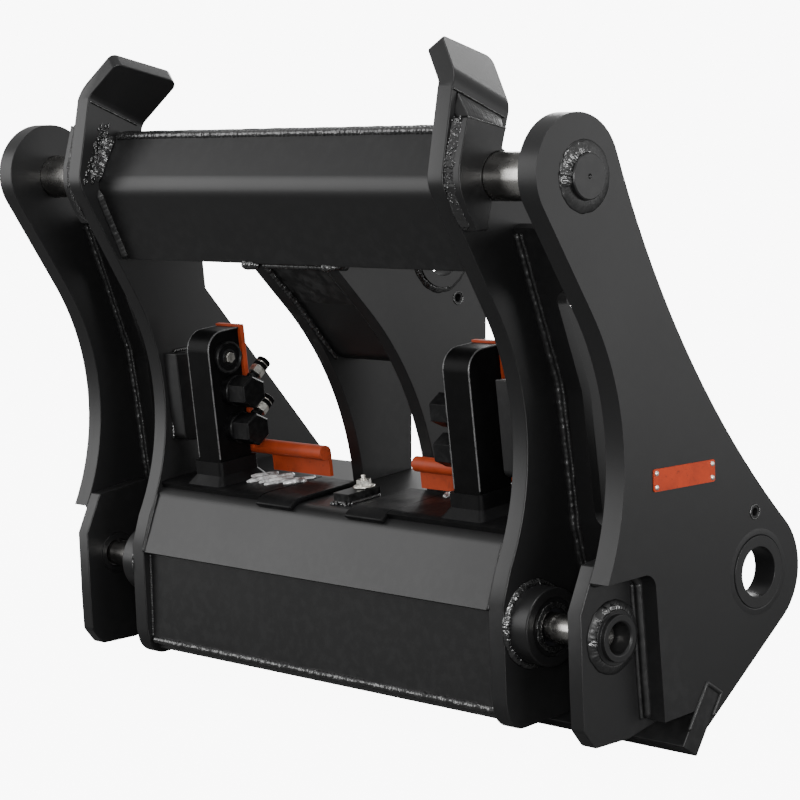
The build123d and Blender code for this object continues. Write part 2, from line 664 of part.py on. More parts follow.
def coupling_tower():
    outer = TOWER_IN + TOWER_W
    rear = TOWER_S + TOWER_D
    body = block(TOWER_IN, outer, TOWER_S, rear, 0, TOWER_TOP)
    edge = [e for e in body.edges().filter_by(Axis.X) if e.center().Z > TOWER_TOP - 1 and e.center().Y < TOWER_S + 1]
    body = fillet(edge, TOWER_R)
    inside = block(TOWER_IN + TOWER_WALL, outer - TOWER_WALL, TOWER_S + TOWER_WALL, rear, 0, TOWER_TOP - TOWER_WALL)
    edge = [e for e in inside.edges().filter_by(Axis.X)
            if e.center().Z > TOWER_TOP - TOWER_WALL - 1 and e.center().Y < TOWER_S + TOWER_WALL + 1]
    body -= fillet(edge, TOWER_R - TOWER_WALL)
    panel_front = TOWER_S + TOWER_RIM
    panel_top = TOWER_TOP - TOWER_RIM
    panel = block(outer - TOWER_INSET, outer, panel_front, rear, 0, panel_top)
    edge = [e for e in panel.edges().filter_by(Axis.X)
            if e.center().Z > panel_top - 1 and e.center().Y < panel_front + 1]
    panel = fillet(edge, TOWER_R - TOWER_RIM)
    body -= panel
    body -= Pos(TOWER_INSET - TOWER_W, 0, 0) * panel
    for h in (ADAPTER_LOW_H, ADAPTER_LOW_H + ADAPTER_PITCH):
        body -= rod(ADAPTER_SHANK_D / 2, TOWER_WALL, TOWER_IN, ADAPTER_S, h)
    return main_solid(body)


def tower_fittings():
    """Cap and its bolt, adapters and nipples, all on the inboard face of the tower."""
    face = TOWER_IN + TOWER_INSET
    cap = rod(CAP_D / 2, CAP_T, face - CAP_T, CAP_S, CAP_H)
    cap = chamfer(cap.edges().sort_by(Axis.X)[0], PIN_CHAMFER)
    bolt = rod(CAP_BOLT_D / 2, CAP_BOLT_T, face - CAP_T - CAP_BOLT_T, CAP_S, CAP_H)
    adapters = []
    nipples = []
    for h in (ADAPTER_LOW_H, ADAPTER_LOW_H + ADAPTER_PITCH):
        body = rod(ADAPTER_SHANK_D / 2, TOWER_WALL, face, ADAPTER_S, h)
        body += rod(ADAPTER_D / 2, ADAPTER_COLLAR, face - ADAPTER_COLLAR, ADAPTER_S, h)
        hexagon = extrude(RegularPolygon(ADAPTER_AF / 2, 6, major_radius=False), ADAPTER_L)
        hexagon = chamfer(hexagon.edges().group_by(Axis.Z)[-1], ADAPTER_CHAMFER)
        body += Pos(face - ADAPTER_COLLAR, ADAPTER_S, h) * Rot(0, -90, 0) * hexagon
        seat = Pos(face - NIPPLE_IN, ADAPTER_S, h) * Rot(-NIPPLE_LEAN, 0, 0) * Pos(0, 0, NIPPLE_ROOT)
        hole = seat * Pos(0, 0, ADAPTER_D / 2) * Cylinder(NIPPLE_NECK_D / 2, ADAPTER_D)
        adapters.append(body - hole)
        neck = Pos(0, 0, NIPPLE_NECK / 2) * Cylinder(NIPPLE_NECK_D / 2, NIPPLE_NECK)
        nut = Pos(0, 0, NIPPLE_NECK) * extrude(RegularPolygon(NIPPLE_NUT_AF / 2, 6, major_radius=False), NIPPLE_NUT)
        end = Pos(0, 0, NIPPLE_NECK + NIPPLE_NUT + NIPPLE_END / 2) * Cylinder(NIPPLE_D / 2, NIPPLE_END)
        total = NIPPLE_NECK + NIPPLE_NUT + NIPPLE_END
        bore = Pos(0, 0, total - NIPPLE_DEPTH / 2) * Cylinder(NIPPLE_BORE / 2, NIPPLE_DEPTH)
        nipples.append(seat * (neck + nut + end - bore))
    return cap, bolt, adapters, nipples


def rubber_sheet(x_from, x_to, wrap):
    """Mat lying on the cover and bent over its front edge by an angle in degrees."""
    lean = math.atan2(BEAM_EDGE[1] - COVER_STEP[1], BEAM_EDGE[0] - COVER_STEP[0])
    drop = plus(BEAM_EDGE, (-math.cos(lean), -math.sin(lean)), MAT_DROP)
    run = [plus(BEAM_EDGE, along(BEAM_SLOPE), MAT_DEPTH), BEAM_EDGE, drop]
    sheet = across(bent_sheet(run, MAT_T, COVER_R + COVER_T), x_from, x_to - x_from)
    start = plus(BEAM_EDGE, along(BEAM_SLOPE), (COVER_R + COVER_T) * math.tan((lean - math.radians(BEAM_SLOPE)) / 2))
    centre = plus(start, along(BEAM_SLOPE - 90), COVER_R + COVER_T)
    past = [plus(centre, along(90 + BEAM_SLOPE + wrap + more), MAT_DEPTH) for more in (0, 60, 120)]
    return main_solid(sheet - across(make_face(Polyline(centre, *past, close=True)), x_from, x_to - x_from))


def tower_boot():
    sheet = rubber_sheet(BOOT_IN, INNER_IN - BOOT_CLEAR, BOOT_WRAP)
    middle = Pos(TOWER_IN + TOWER_W / 2, TOWER_S + TOWER_D / 2)
    foot = middle * RectangleRounded(TOWER_W + 2 * FLARE, TOWER_D + 2 * FLARE, FLARE / 2)
    neck = middle * RectangleRounded(TOWER_W + 2 * COLLAR_WALL, TOWER_D + 2 * COLLAR_WALL, COLLAR_WALL)
    collar = loft([Pos(0, 0, MAT_T / 2) * foot, Pos(0, 0, COLLAR_FOOT) * neck])
    collar += extrude(Pos(0, 0, COLLAR_FOOT) * neck, COLLAR_TOP - COLLAR_FOOT)
    tower = block(TOWER_IN - RUBBER_GAP, TOWER_IN + TOWER_W + RUBBER_GAP,
                  TOWER_S - RUBBER_GAP, TOWER_S + TOWER_D + RUBBER_GAP, -MAT_T, COLLAR_TOP)
    ear_x = TOWER_IN + TOWER_W + EAR_GAP
    ear = block(ear_x - RUBBER_GAP, ear_x + EAR_T + RUBBER_GAP,
                HINGE_S - EAR_HALF - RUBBER_GAP, HINGE_S + EAR_HALF + RUBBER_GAP, -MAT_T, COLLAR_TOP)
    return main_solid(sheet + on_beam(collar) - on_beam(tower + ear))


def lid_hinge():
    """Ear welded to the beam and the hinge pin standing in it."""
    start = TOWER_IN + TOWER_W + EAR_GAP
    ear = block(start, start + EAR_T, HINGE_S - EAR_HALF, HINGE_S + EAR_HALF, 0, HINGE_H)
    ear += rod(EAR_HALF, EAR_T, start, HINGE_S, HINGE_H)
    ear -= rod(HINGE_PIN_D / 2, EAR_T, start, HINGE_S, HINGE_H)
    pin = rod(HINGE_PIN_D / 2, HINGE_PIN_REACH + EAR_T, start - HINGE_PIN_REACH, HINGE_S, HINGE_H)
    return ear, pin


def tower_lid():
    rear = TOWER_S + TOWER_D + LID_GAP
    outer = TOWER_IN + TOWER_W
    panel = block(TOWER_IN - LID_OVER, outer + LID_OVER, rear, rear + LID_T, HINGE_H, TOWER_TOP + LID_OVER)
    rim = panel.edges().group_by(Axis.Y)[-1]
    panel = chamfer(rim, LID_T / 3)
    strap = block(TOWER_IN, outer, rear + LID_T / 2, HINGE_S, HINGE_H, HINGE_H + STRAP_H)
    tube = rod(TUBE_D / 2, outer - TUBE_TIP, TUBE_TIP, HINGE_S, HINGE_H)
    flap = block(TUBE_TIP, FLAP_END, HINGE_S + TUBE_D / 2 - FLAP_T, HINGE_S + TUBE_D / 2, HINGE_H - FLAP_DEPTH, HINGE_H)
    bore_from = outer + EAR_GAP - HINGE_PIN_REACH - EAR_GAP
    bore = rod(HINGE_PIN_D / 2 + HINGE_CLEAR, outer + LID_OVER - bore_from, bore_from, HINGE_S, HINGE_H)
    return panel + strap + tube + flap - bore


def guard_bar():
    lean = along(90 + BEAM_SLOPE)
    height = GUARD_TOP - GUARD_LOW
    low = (GUARD_FRONT_Y, GUARD_LOW)
    top = plus(low, lean, height)
    face = make_face(Polyline(low, plus(low, (GUARD_DEPTH, 0)), plus(top, (GUARD_DEPTH, 0)), top, close=True))
    face = rounded(face, [(low, GUARD_R)])
    return across(face, INNER_IN - GUARD_W, GUARD_W)


def keeper(cover):
    left = KEEPER_X - KEEPER_W / 2
    plate = block(left, left + KEEPER_W, KEEPER_S, KEEPER_S + KEEPER_L, 0, KEEPER_T)
    hole = Pos(KEEPER_X, KEEPER_BOLT_S, KEEPER_T / 2) * Cylinder(KEEPER_BOLT_D / 2, KEEPER_T)
    shank_top = KEEPER_T + KEEPER_WASHER_T + KEEPER_HEAD_T
    shank = Cylinder(KEEPER_BOLT_D / 2, KEEPER_T + KEEPER_BITE)
    shank = Pos(KEEPER_X, KEEPER_BOLT_S, (KEEPER_T - KEEPER_BITE) / 2) * shank
    washer = Pos(KEEPER_X, KEEPER_BOLT_S, KEEPER_T + KEEPER_WASHER_T / 2) * Cylinder(KEEPER_WASHER_D / 2, KEEPER_WASHER_T)
    head = extrude(RegularPolygon(KEEPER_HEAD_AF / 2, 6, major_radius=False), KEEPER_HEAD_T)
    head = Pos(KEEPER_X, KEEPER_BOLT_S, shank_top - KEEPER_HEAD_T) * head
    return on_beam(plate - hole), on_beam(shank + washer + head), on_beam(shank)


os.makedirs("parts", exist_ok=True)

BARREL_HALF = DIVIDER_HALF + 2 * PISTON_GAP + LOCK_STROKE + PISTON_L + GLAND_L
PIN_ROOT = BARREL_HALF + LOCK_PIN_GAP + LOCK_STROKE

the_bar = stop_bar()
cross_front, cross_rear = crossbeam()
cover_sheet = beam_cover()
keeper_block, keeper_screw, keeper_shank = keeper(cover_sheet)
shell_front, shell_bottom, shell_rear = beam_plates(cover_sheet, the_bar)

save("stop_bar", the_bar)
save_pair("outer_plate", outer_plate(the_bar))
save_pair("lug_plate", lug_plate(the_bar))
save_pair("lug_bush", lug_bush())
save_pair("inner_plate", inner_plate(the_bar))
save_pair("wear_pad", wear_pad())
save_pair("hook_pin", hook_pin())

save_pair("lock_boss", lock_boss())
guide_end = INNER_OUT + BOSS_PROUD - BOSS_RECESS - WIPER_L
save_pair("guide_bush", ring(LOCK_C, GUIDE_D, LOCK_PIN_D + 2 * GUIDE_CLEAR, INNER_IN - BOSS_TAIL, guide_end))
save_both("wiper_seals", ring(LOCK_C, GUIDE_D, LOCK_PIN_D + 2 * WIPER_CLEAR, guide_end, guide_end + WIPER_L))

save("crossbeam_front", cross_front)
save("crossbeam_rear", cross_rear)
save_pair("back_web", back_web(the_bar))

save_pair("tilt_plate", tilt_plate((cross_front, cross_rear), cover_sheet))
tilt_in = TILT_CLEAR / 2 - TILT_BUSH_PROUD
save_pair("tilt_bush", ring(TILT_C, TILT_BUSH_D, TILT_BORE_D, tilt_in, tilt_in + TILT_T + 2 * TILT_BUSH_PROUD))
save("tilt_web", tilt_web((cross_front, cross_rear)))

outer_bush = (OUTER_IN - LIFT_BUSH_PROUD, OUTER_OUT + LIFT_BUSH_PROUD)
inner_bush = (INNER_IN - LIFT_BUSH_PROUD, INNER_OUT + LIFT_BUSH_PROUD)
save_both("lift_bushes_outer", ring(LIFT_C, LIFT_BUSH_D, LIFT_BORE_D, *outer_bush))
save_both("lift_bushes_inner", ring(LIFT_C, LIFT_BUSH_D, LIFT_BORE_D, *inner_bush))

save("beam_cover", cover_sheet - keeper_shank)
save("beam_front_plate", shell_front)
save("beam_bottom_plate", shell_bottom)
save("beam_rear_plate", shell_rear)

barrel_tube, barrel_gland, barrel_saddle = lock_cylinder()
save("lock_cylinder_barrel", barrel_tube)
save_both("lock_glands", barrel_gland)
save_both("cylinder_saddles", barrel_saddle)
save_pair("lock_pin", lock_pin())
save_pair("lock_piston", lock_piston())

save("keeper_plate", keeper_block)
save("keeper_bolt", keeper_screw)

fitting_cap, fitting_bolt, fitting_adapters, fitting_nipples = tower_fittings()
save_pair("coupling_tower", on_beam(coupling_tower()))
save_both("tower_caps", on_beam(fitting_cap))
save_both("cap_bolts", on_beam(fitting_bolt))
save_both("port_adapters", *[on_beam(part) for part in fitting_adapters])
save_both("port_nipples", *[on_beam(part) for part in fitting_nipples])
save_pair("tower_boot", tower_boot())
save_both("beam_mats", rubber_sheet(MAT_IN, BOOT_IN - MAT_LAP, MAT_WRAP))

hinge_ear, hinge_pin = lid_hinge()
save_both("hinge_ears", on_beam(hinge_ear))
save_both("hinge_pins", on_beam(hinge_pin))
save_pair("tower_lid", on_beam(tower_lid()))
save_both("guard_bars", guard_bar())
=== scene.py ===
import json
import math
import random

import bmesh
import bpy
from mathutils import Matrix, Vector, noise


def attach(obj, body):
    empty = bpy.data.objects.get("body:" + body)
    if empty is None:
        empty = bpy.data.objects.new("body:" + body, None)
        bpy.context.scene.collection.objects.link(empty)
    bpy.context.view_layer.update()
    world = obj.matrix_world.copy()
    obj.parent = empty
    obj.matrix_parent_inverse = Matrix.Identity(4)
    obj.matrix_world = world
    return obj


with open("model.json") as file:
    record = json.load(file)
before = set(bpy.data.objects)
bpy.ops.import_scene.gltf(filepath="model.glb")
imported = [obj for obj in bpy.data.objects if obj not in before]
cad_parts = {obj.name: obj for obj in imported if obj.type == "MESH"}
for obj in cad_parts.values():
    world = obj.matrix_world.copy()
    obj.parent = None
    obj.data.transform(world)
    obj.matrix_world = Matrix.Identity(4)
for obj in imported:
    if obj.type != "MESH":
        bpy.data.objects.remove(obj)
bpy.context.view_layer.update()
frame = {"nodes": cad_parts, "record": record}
nodes = frame["nodes"]

# Places are given in millimetres from the hook pin axis, as in the part's source.
# x is from the middle plane, y to the rear and z up.
MID_Y = 227.5               # middle of the part's depth
REST_Z = 960.0              # height of the hook pin axis over the floor
EDGE = (82.0, -594.0)       # front edge of the lower beam's sloped top
SLOPE = math.radians(7.8)


def at(x, y, z):
    return Vector((x, y - MID_Y, z + REST_Z)) / 1000


def beam(x, s, h):
    """Point on the sloped top of the lower beam: s along it, h above it."""
    y = EDGE[0] + s * math.cos(SLOPE) - h * math.sin(SLOPE)
    z = EDGE[1] + s * math.sin(SLOPE) + h * math.cos(SLOPE)
    return at(x, y, z)


def route(x, points):
    return [at(x, y, z) for y, z in points]


def shifted(points, by):
    return [(y + by[0], z + by[1]) for y, z in points]


# Materials

def times(colour, factor):
    return tuple(c * factor for c in colour)


class Tree:
    """Short names for building a material's nodes."""

    def __init__(self, name):
        self.material = bpy.data.materials.new(name)
        self.material.use_nodes = True
        self.nodes = self.material.node_tree.nodes
        self.links = self.material.node_tree.links
        self.shader = self.nodes["Principled BSDF"]
        self.space = self.nodes.new("ShaderNodeTexCoord").outputs["Object"]

    def feed(self, target, value):
        """Give a socket another socket's value, a colour or a number."""
        if isinstance(value, bpy.types.NodeSocket):
            self.links.new(value, target)
        elif isinstance(value, tuple):
            target.default_value = (*value, 1.0)
        else:
            target.default_value = value

    def put(self, socket, value):
        self.feed(self.shader.inputs[socket], value)

    def stretched(self, scale):
        node = self.nodes.new("ShaderNodeMapping")
        node.inputs["Scale"].default_value = scale
        self.links.new(self.space, node.inputs["Vector"])
        return node.outputs["Vector"]

    def noise(self, scale, detail=3.0, rough=0.55, space=None, distortion=0.0):
        node = self.nodes.new("ShaderNodeTexNoise")
        node.inputs["Scale"].default_value = scale
        node.inputs["Detail"].default_value = detail
        node.inputs["Roughness"].default_value = rough
        node.inputs["Distortion"].default_value = distortion
        self.links.new(space or self.space, node.inputs["Vector"])
        return node.outputs["Fac"]

    def ranged(self, value, low, high, to_low, to_high):
        node = self.nodes.new("ShaderNodeMapRange")
        limits = {"From Min": low, "From Max": high, "To Min": to_low, "To Max": to_high}
        for name, number in limits.items():
            node.inputs[name].default_value = number
        self.links.new(value, node.inputs["Value"])
        return node.outputs["Result"]

    def colours(self, value, stops):
        node = self.nodes.new("ShaderNodeValToRGB")
        ramp = node.color_ramp
        while len(ramp.elements) < len(stops):
            ramp.elements.new(0.5)
        for element, (place, colour) in zip(ramp.elements, stops):
            element.position = place
            element.color = (*colour, 1.0)
        self.links.new(value, node.inputs["Fac"])
        return node.outputs["Color"]

    def mixed(self, factor, a, b):
        node = self.nodes.new("ShaderNodeMix")
        node.data_type = "RGBA"
        for socket, value in ((node.inputs["Factor"], factor), (node.inputs[6], a), (node.inputs[7], b)):
            self.feed(socket, value)
        return node.outputs[2]

    def product(self, a, b):
        node = self.nodes.new("ShaderNodeMath")
        node.operation = "MULTIPLY"
        for socket, value in zip(node.inputs, (a, b)):
            self.feed(socket, value)
        return node.outputs["Value"]

    def bump(self, height, strength, distance, normal=None):
        node = self.nodes.new("ShaderNodeBump")
        node.inputs["Strength"].default_value = strength
        node.inputs["Distance"].default_value = distance
        self.links.new(height, node.inputs["Height"])
        if normal is not None:
            self.links.new(normal, node.inputs["Normal"])
        return node.outputs["Normal"]

    def edges(self, low, high):
        """Nearly 0 on flats and hollows, rising to 1 along outer edges."""
        geometry = self.nodes.new("ShaderNodeNewGeometry")
        return self.ranged(geometry.outputs["Pointiness"], low, high, 0.0, 1.0)


def frame_paint(name, colour=(0.0085, 0.0085, 0.0087), rough=0.36):
    """Black paint with a slight pebble, lighter grey in places along its edges: partly rubbed paint, partly
    a painted edge highlight.
    """
    t = Tree(name)
    cloud = t.noise(2.5, 3.0, 0.55)
    base = t.colours(cloud, [(0.3, times(colour, 0.92)), (0.5, colour), (0.72, times(colour, 1.12))])
    # Edges lighter grey in noisy patches: partly rubbed paint, partly a painted edge highlight.
    pale_edges = t.product(t.edges(0.54, 0.66), t.ranged(t.noise(55.0, 3.0), 0.45, 0.62, 0.0, 0.5))
    t.put("Base Color", t.mixed(pale_edges, base, (0.045, 0.045, 0.045)))
    t.put("Roughness", t.ranged(t.noise(4.0, 3.0, 0.5), 0.3, 0.7, rough - 0.015, rough + 0.02))
    t.put("Specular IOR Level", 0.30)
    pebble = t.bump(t.noise(420.0, 2.0), 0.10, 0.0008)
    t.put("Normal", t.bump(t.noise(9.0, 2.0), 0.02, 0.003, pebble))
    return t.material


def turned_steel(name, colour=(0.47, 0.46, 0.44), rough=0.24):
    """Bare steel with turning marks round the x axis."""
    t = Tree(name)
    rings = t.noise(1.0, 2.0, space=t.stretched((700.0, 9.0, 9.0)))
    stain = t.noise(14.0, 3.0, 0.5)
    stops = [(0.28, times(colour, 0.8)), (0.55, colour), (0.8, times(colour, 1.15))]
    t.put("Base Color", t.colours(stain, stops))
    t.put("Metallic", 1.0)
    t.put("Roughness", t.ranged(t.noise(40.0, 3.0), 0.3, 0.7, rough - 0.04, rough + 0.06))
    t.put("Normal", t.bump(rings, 0.10, 0.0006))
    return t.material


def plated(name, colour=(0.80, 0.78, 0.72), rough=0.28):
    t = Tree(name)
    spots = t.noise(160.0, 4.0, 0.6)
    t.put("Base Color", t.colours(spots, [(0.3, times(colour, 0.6)), (0.6, colour)]))
    t.put("Metallic", 1.0)
    t.put("Roughness", t.ranged(spots, 0.3, 0.7, rough, rough + 0.16))
    t.put("Normal", t.bump(t.noise(300.0, 3.0), 0.12, 0.0005))
    return t.material


def black_oxide(name, colour, rough, wear, specular=0.16):
    t = Tree(name)
    cloud = t.noise(38.0, 4.0, 0.6)
    pale_edges = t.product(t.edges(0.52, 0.60), t.ranged(t.noise(120.0), 0.4, 0.65, 0.0, wear))
    base = t.colours(cloud, [(0.3, times(colour, 0.8)), (0.65, times(colour, 1.3))])
    t.put("Base Color", t.mixed(pale_edges, base, (0.07, 0.07, 0.07)))
    t.put("Metallic", 0.0)
    t.put("Specular IOR Level", specular)
    t.put("Roughness", rough)
    t.put("Normal", t.bump(t.noise(420.0, 3.0), 0.06, 0.0005))
    return t.material


def rubber(name, colour=(0.0035, 0.0035, 0.0037), rough=0.40):
    t = Tree(name)
    dust = t.noise(14.0, 6.0, 0.68, distortion=0.5)
    grain = t.noise(520.0, 3.0)
    scuff = t.ranged(dust, 0.56, 0.74, 0.0, 0.25)
    t.put("Base Color", t.mixed(scuff, colour, (0.035, 0.034, 0.032)))
    t.put("Specular IOR Level", 0.12)
    t.put("Roughness", t.ranged(dust, 0.35, 0.7, rough - 0.08, rough + 0.22))
    wrinkle = t.bump(t.noise(34.0, 4.0, 0.6, distortion=0.8), 0.16, 0.003)
    t.put("Normal", t.bump(grain, 0.14, 0.0006, wrinkle))
    return t.material


def orange_paint(name, colour=(0.36, 0.048, 0.014)):
    t = Tree(name)
    cloud = t.noise(30.0, 5.0, 0.62)
    base = t.colours(cloud, [(0.3, times(colour, 0.72)), (0.6, colour)])
    grime = t.ranged(t.noise(70.0, 6.0, 0.72), 0.58, 0.72, 0.0, 0.75)
    t.put("Base Color", t.mixed(grime, base, (0.05, 0.02, 0.012)))
    t.put("Specular IOR Level", 0.2)
    t.put("Roughness", t.ranged(cloud, 0.3, 0.7, 0.36, 0.57))
    t.put("Normal", t.bump(t.noise(330.0, 3.0), 0.14, 0.0007))
    return t.material


def weld_paint(name, rough, bump, gloss, tone=0.009):
    """The frame's paint over a weld: shinier and rippled."""
    t = Tree(name)
    dark = (0.6 * tone, 0.6 * tone, 0.62 * tone)
    light = (1.4 * tone, 1.4 * tone, 1.4 * tone)
    t.put("Base Color", t.colours(t.noise(45.0, 4.0), [(0.3, dark), (0.7, light)]))
    t.put("Specular IOR Level", gloss)
    t.put("Roughness", t.ranged(t.noise(120.0, 3.0), 0.3, 0.7, rough - 0.06, rough + 0.14))
    t.put("Normal", t.bump(t.noise(105.0, 2.5, 0.5, distortion=0.6), bump, 0.005))
    return t.material


def fold_highlight_rubber(name):
    """Glossy folds pressed smooth, coloured light grey in patches as a painted highlight on top of their
    real shine.
    """
    t = Tree(name)
    dark, light = (0.12, 0.12, 0.12), (0.55, 0.55, 0.55)
    t.put("Base Color", t.colours(t.noise(60.0, 3.0), [(0.35, dark), (0.62, light)]))
    t.put("Specular IOR Level", 1.0)
    t.put("Roughness", t.ranged(t.noise(90.0, 3.0), 0.3, 0.7, 0.10, 0.22))
    t.put("Coat Weight", 1.0)
    t.put("Coat Roughness", 0.08)
    return t.material


PAINT = frame_paint("frame_paint")
STEEL = turned_steel("pin_steel")
BUSH = turned_steel("bush_steel", (0.30, 0.29, 0.27), rough=0.32)
BLACK = black_oxide("tower_black", (0.0028, 0.0028, 0.0029), rough=0.40, wear=0.0, specular=0.05)
FITTING = black_oxide("fitting_black", (0.0030, 0.0030, 0.0032), rough=0.32, wear=0.3)
ZINC = plated("zinc")
ORANGE = orange_paint("lid_orange")
RUBBER = rubber("mat_rubber")
SEAL = rubber("seal_rubber", (0.012, 0.012, 0.014), rough=0.5)
CYLINDER = frame_paint("cylinder_paint", (0.012, 0.012, 0.013), rough=0.3)
WELD = weld_paint("weld", rough=0.13, bump=0.55, gloss=1.0)
SMOOTH_WELD = weld_paint("weld_smooth", rough=0.34, bump=0.1, gloss=0.4)
# Light grey base colour: a painted highlight on the mat's folds.
FOLD_HIGHLIGHT = fold_highlight_rubber("mat_fold_highlight")
# Much lighter than the tower black: a painted highlight along the towers' rims.
RIM_HIGHLIGHT = weld_paint("tower_rim_highlight", rough=0.26, bump=0.05, gloss=0.8, tone=0.07)
PLATE_ORANGE = orange_paint("nameplate_orange", (0.36, 0.036, 0.009))

BY_SLOT = {
    "frame_paint": PAINT, "pin_steel": STEEL, "bush_steel": BUSH, "tower_black": BLACK,
    "fitting_black": FITTING, "zinc": ZINC, "lid_orange": ORANGE, "mat_rubber": RUBBER,
    "seal_rubber": SEAL, "cylinder_paint": CYLINDER,
}
SLOT_OF = {part["node"]: part["material_slot"] for part in frame["record"]["subparts"]}

# Width of the rounded edges in metres
EDGE_WIDTH = {
    "frame_paint": 0.0022, "tower_black": 0.0025, "fitting_black": 0.0014, "mat_rubber": 0.003,
    "lid_orange": 0.0016, "zinc": 0.0008, "pin_steel": 0.0008, "bush_steel": 0.001,
    "seal_rubber": 0.0005, "cylinder_paint": 0.001,
}

# Bushes are painted over with the frame, and only the pins are bare
PAINTED_OVER = ("lug_bush", "lift_bushes", "tilt_bush")


def soften(obj, width):
    """Small rounded edges, as on cut and painted plate."""
    weld = obj.modifiers.new("join", "WELD")
    weld.merge_threshold = 0.00002
    flats = obj.modifiers.new("flats", "DECIMATE")
    flats.decimate_type = "DISSOLVE"
    flats.angle_limit = math.radians(0.4)
    bevel = obj.modifiers.new("edge", "BEVEL")
    bevel.width = width
    bevel.segments = 2
    bevel.limit_method = "ANGLE"
    bevel.angle_limit = math.radians(32)
    bevel.use_clamp_overlap = True
    shading = obj.modifiers.new("shading", "WEIGHTED_NORMAL")
    shading.mode = "FACE_AREA"
    shading.weight = 90


for name, obj in nodes.items():
    slot = SLOT_OF[name]
    painted = name.startswith(PAINTED_OVER)
    obj.data.materials.clear()
    obj.data.materials.append(PAINT if painted else BY_SLOT[slot])
    soften(obj, EDGE_WIDTH[slot])


# Pieces

def finish_mesh(name, bm, material, sharp=None, body="frame"):
    """Make an object of a mesh. Edges over the sharp angle, in degrees, stay sharp."""
    mesh = bpy.data.meshes.new(name)
    bmesh.ops.recalc_face_normals(bm, faces=bm.faces)
    bm.to_mesh(mesh)
    bm.free()
    for polygon in mesh.polygons:
        polygon.use_smooth = True
    if sharp:
        mesh.set_sharp_from_angle(angle=math.radians(sharp))
    mesh.materials.append(material)
    obj = bpy.data.objects.new(name, mesh)
    bpy.context.scene.collection.objects.link(obj)
    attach(obj, body)
    return obj


def skin(bm, rings, closed=False):
    """Faces from ring to ring, and one at each end unless the last ring meets the first."""
    size = len(rings[0])
    for a, b in zip(rings, rings[1:] + (rings[:1] if closed else [])):
        for k in range(size):
            bm.faces.new((a[k], a[(k + 1) % size], b[(k + 1) % size], b[k]))
    if not closed:
        bm.faces.new(rings[0])
        bm.faces.new(rings[-1])


def resampled(points, step, closed):
    """Points at an even step along a polyline."""
    run = list(points) + ([points[0]] if closed else [])
    out = []
    carry = 0.0
    for a, b in zip(run, run[1:]):
        length = (b - a).length
        t = carry
        while t < length:
            out.append(a.lerp(b, t / length))
            t += step
        carry = t - length
    if not closed:
        out.append(run[-1])
    return out


def share(line, t):
    """The point at share t of a polyline's length."""
    lengths = [(b - a).length for a, b in zip(line, line[1:])]
    left = t * sum(lengths)
    for a, b, length in zip(line, line[1:], lengths):
        if left <= length or b is line[-1]:
            return a.lerp(b, min(1.0, left / length))
        left -= length


# The lengths below are in millimetres, and a bead's step and ripple are shares of its radius
BEAD_SIDES = 10
BEAD_STEP = 0.3
BEAD_RIPPLE = 1.4
FILLET_STEP = 2.0
FILLET_ACROSS = 8
RING_STEP = 1.2
RING_ACROSS = 7
RING_RIPPLE = 7.5


def bead(name, points, radius, seed, closed=False, ripple=0.05, lumps=0.12, material=WELD):
    """A weld bead: a rippled rope half sunk in the corner that it fills."""
    path = resampled(points, radius * BEAD_STEP / 1000, closed)
    count = len(path)
    bm = bmesh.new()
    rings = []
    ref = Vector((0.31, 0.53, 0.79)).normalized()
    for i, point in enumerate(path):
        before = path[(i - 1) % count] if closed else path[max(i - 1, 0)]
        after = path[(i + 1) % count] if closed else path[min(i + 1, count - 1)]
        direction = (after - before).normalized()
        side = direction.cross(ref).normalized()
        up = side.cross(direction)
        wave = math.sin(2 * math.pi * i * BEAD_STEP / BEAD_RIPPLE)
        swell = 1 + ripple * wave + lumps * noise.noise(point * 30 + Vector((seed, 0, 0)))
        if not closed:
            swell *= min(1.0, 0.45 + 0.2 * min(i, count - 1 - i))
        r = radius / 1000 * swell
        stray = Vector((noise.noise(point * 90), noise.noise(point * 90 + Vector((9, 0, 0))), 0))
        stray = stray * r * 1.6 * lumps
        ring = []
        for k in range(BEAD_SIDES):
            angle = 2 * math.pi * k / BEAD_SIDES
            ring.append(bm.verts.new(point + stray + side * math.cos(angle) * r + up * math.sin(angle) * r))
        rings.append(ring)
    skin(bm, rings, closed)
    return finish_mesh(name, bm, material)


def fillet(name, low, high, corner, bulge, ripple, seed, material=WELD):
    """A wide weld in a corner, from a line on one face to a line on the other."""
    longest = max(sum((b - a).length for a, b in zip(line, line[1:])) for line in (low, high))
    steps = int(longest / (FILLET_STEP / 1000))
    bm = bmesh.new()
    rings = []
    for i in range(steps + 1):
        a, b, c = (share(line, i / steps) for line in (low, high, corner))
        ease = min(1.0, 0.2 + 0.16 * min(i, steps - i))
        a, b = c.lerp(a, ease), c.lerp(b, ease)
        outward = ((a + b) / 2 - c).normalized()
        ring = [bm.verts.new(c)]
        for k in range(FILLET_ACROSS + 1):
            t = k / FILLET_ACROSS
            point = a.lerp(b, t)
            wave = 0.25 * math.sin(2 * math.pi * i / 4 + 1.2 * t)
            rough = wave + noise.noise(point * 95 + Vector((seed, 0, 0)))
            hump = math.sin(math.pi * t) ** 0.6 * (bulge + ripple * rough) * ease
            ring.append(bm.verts.new(point + outward * hump / 1000))
        rings.append(ring)
    skin(bm, rings)
    return finish_mesh(name, bm, material)


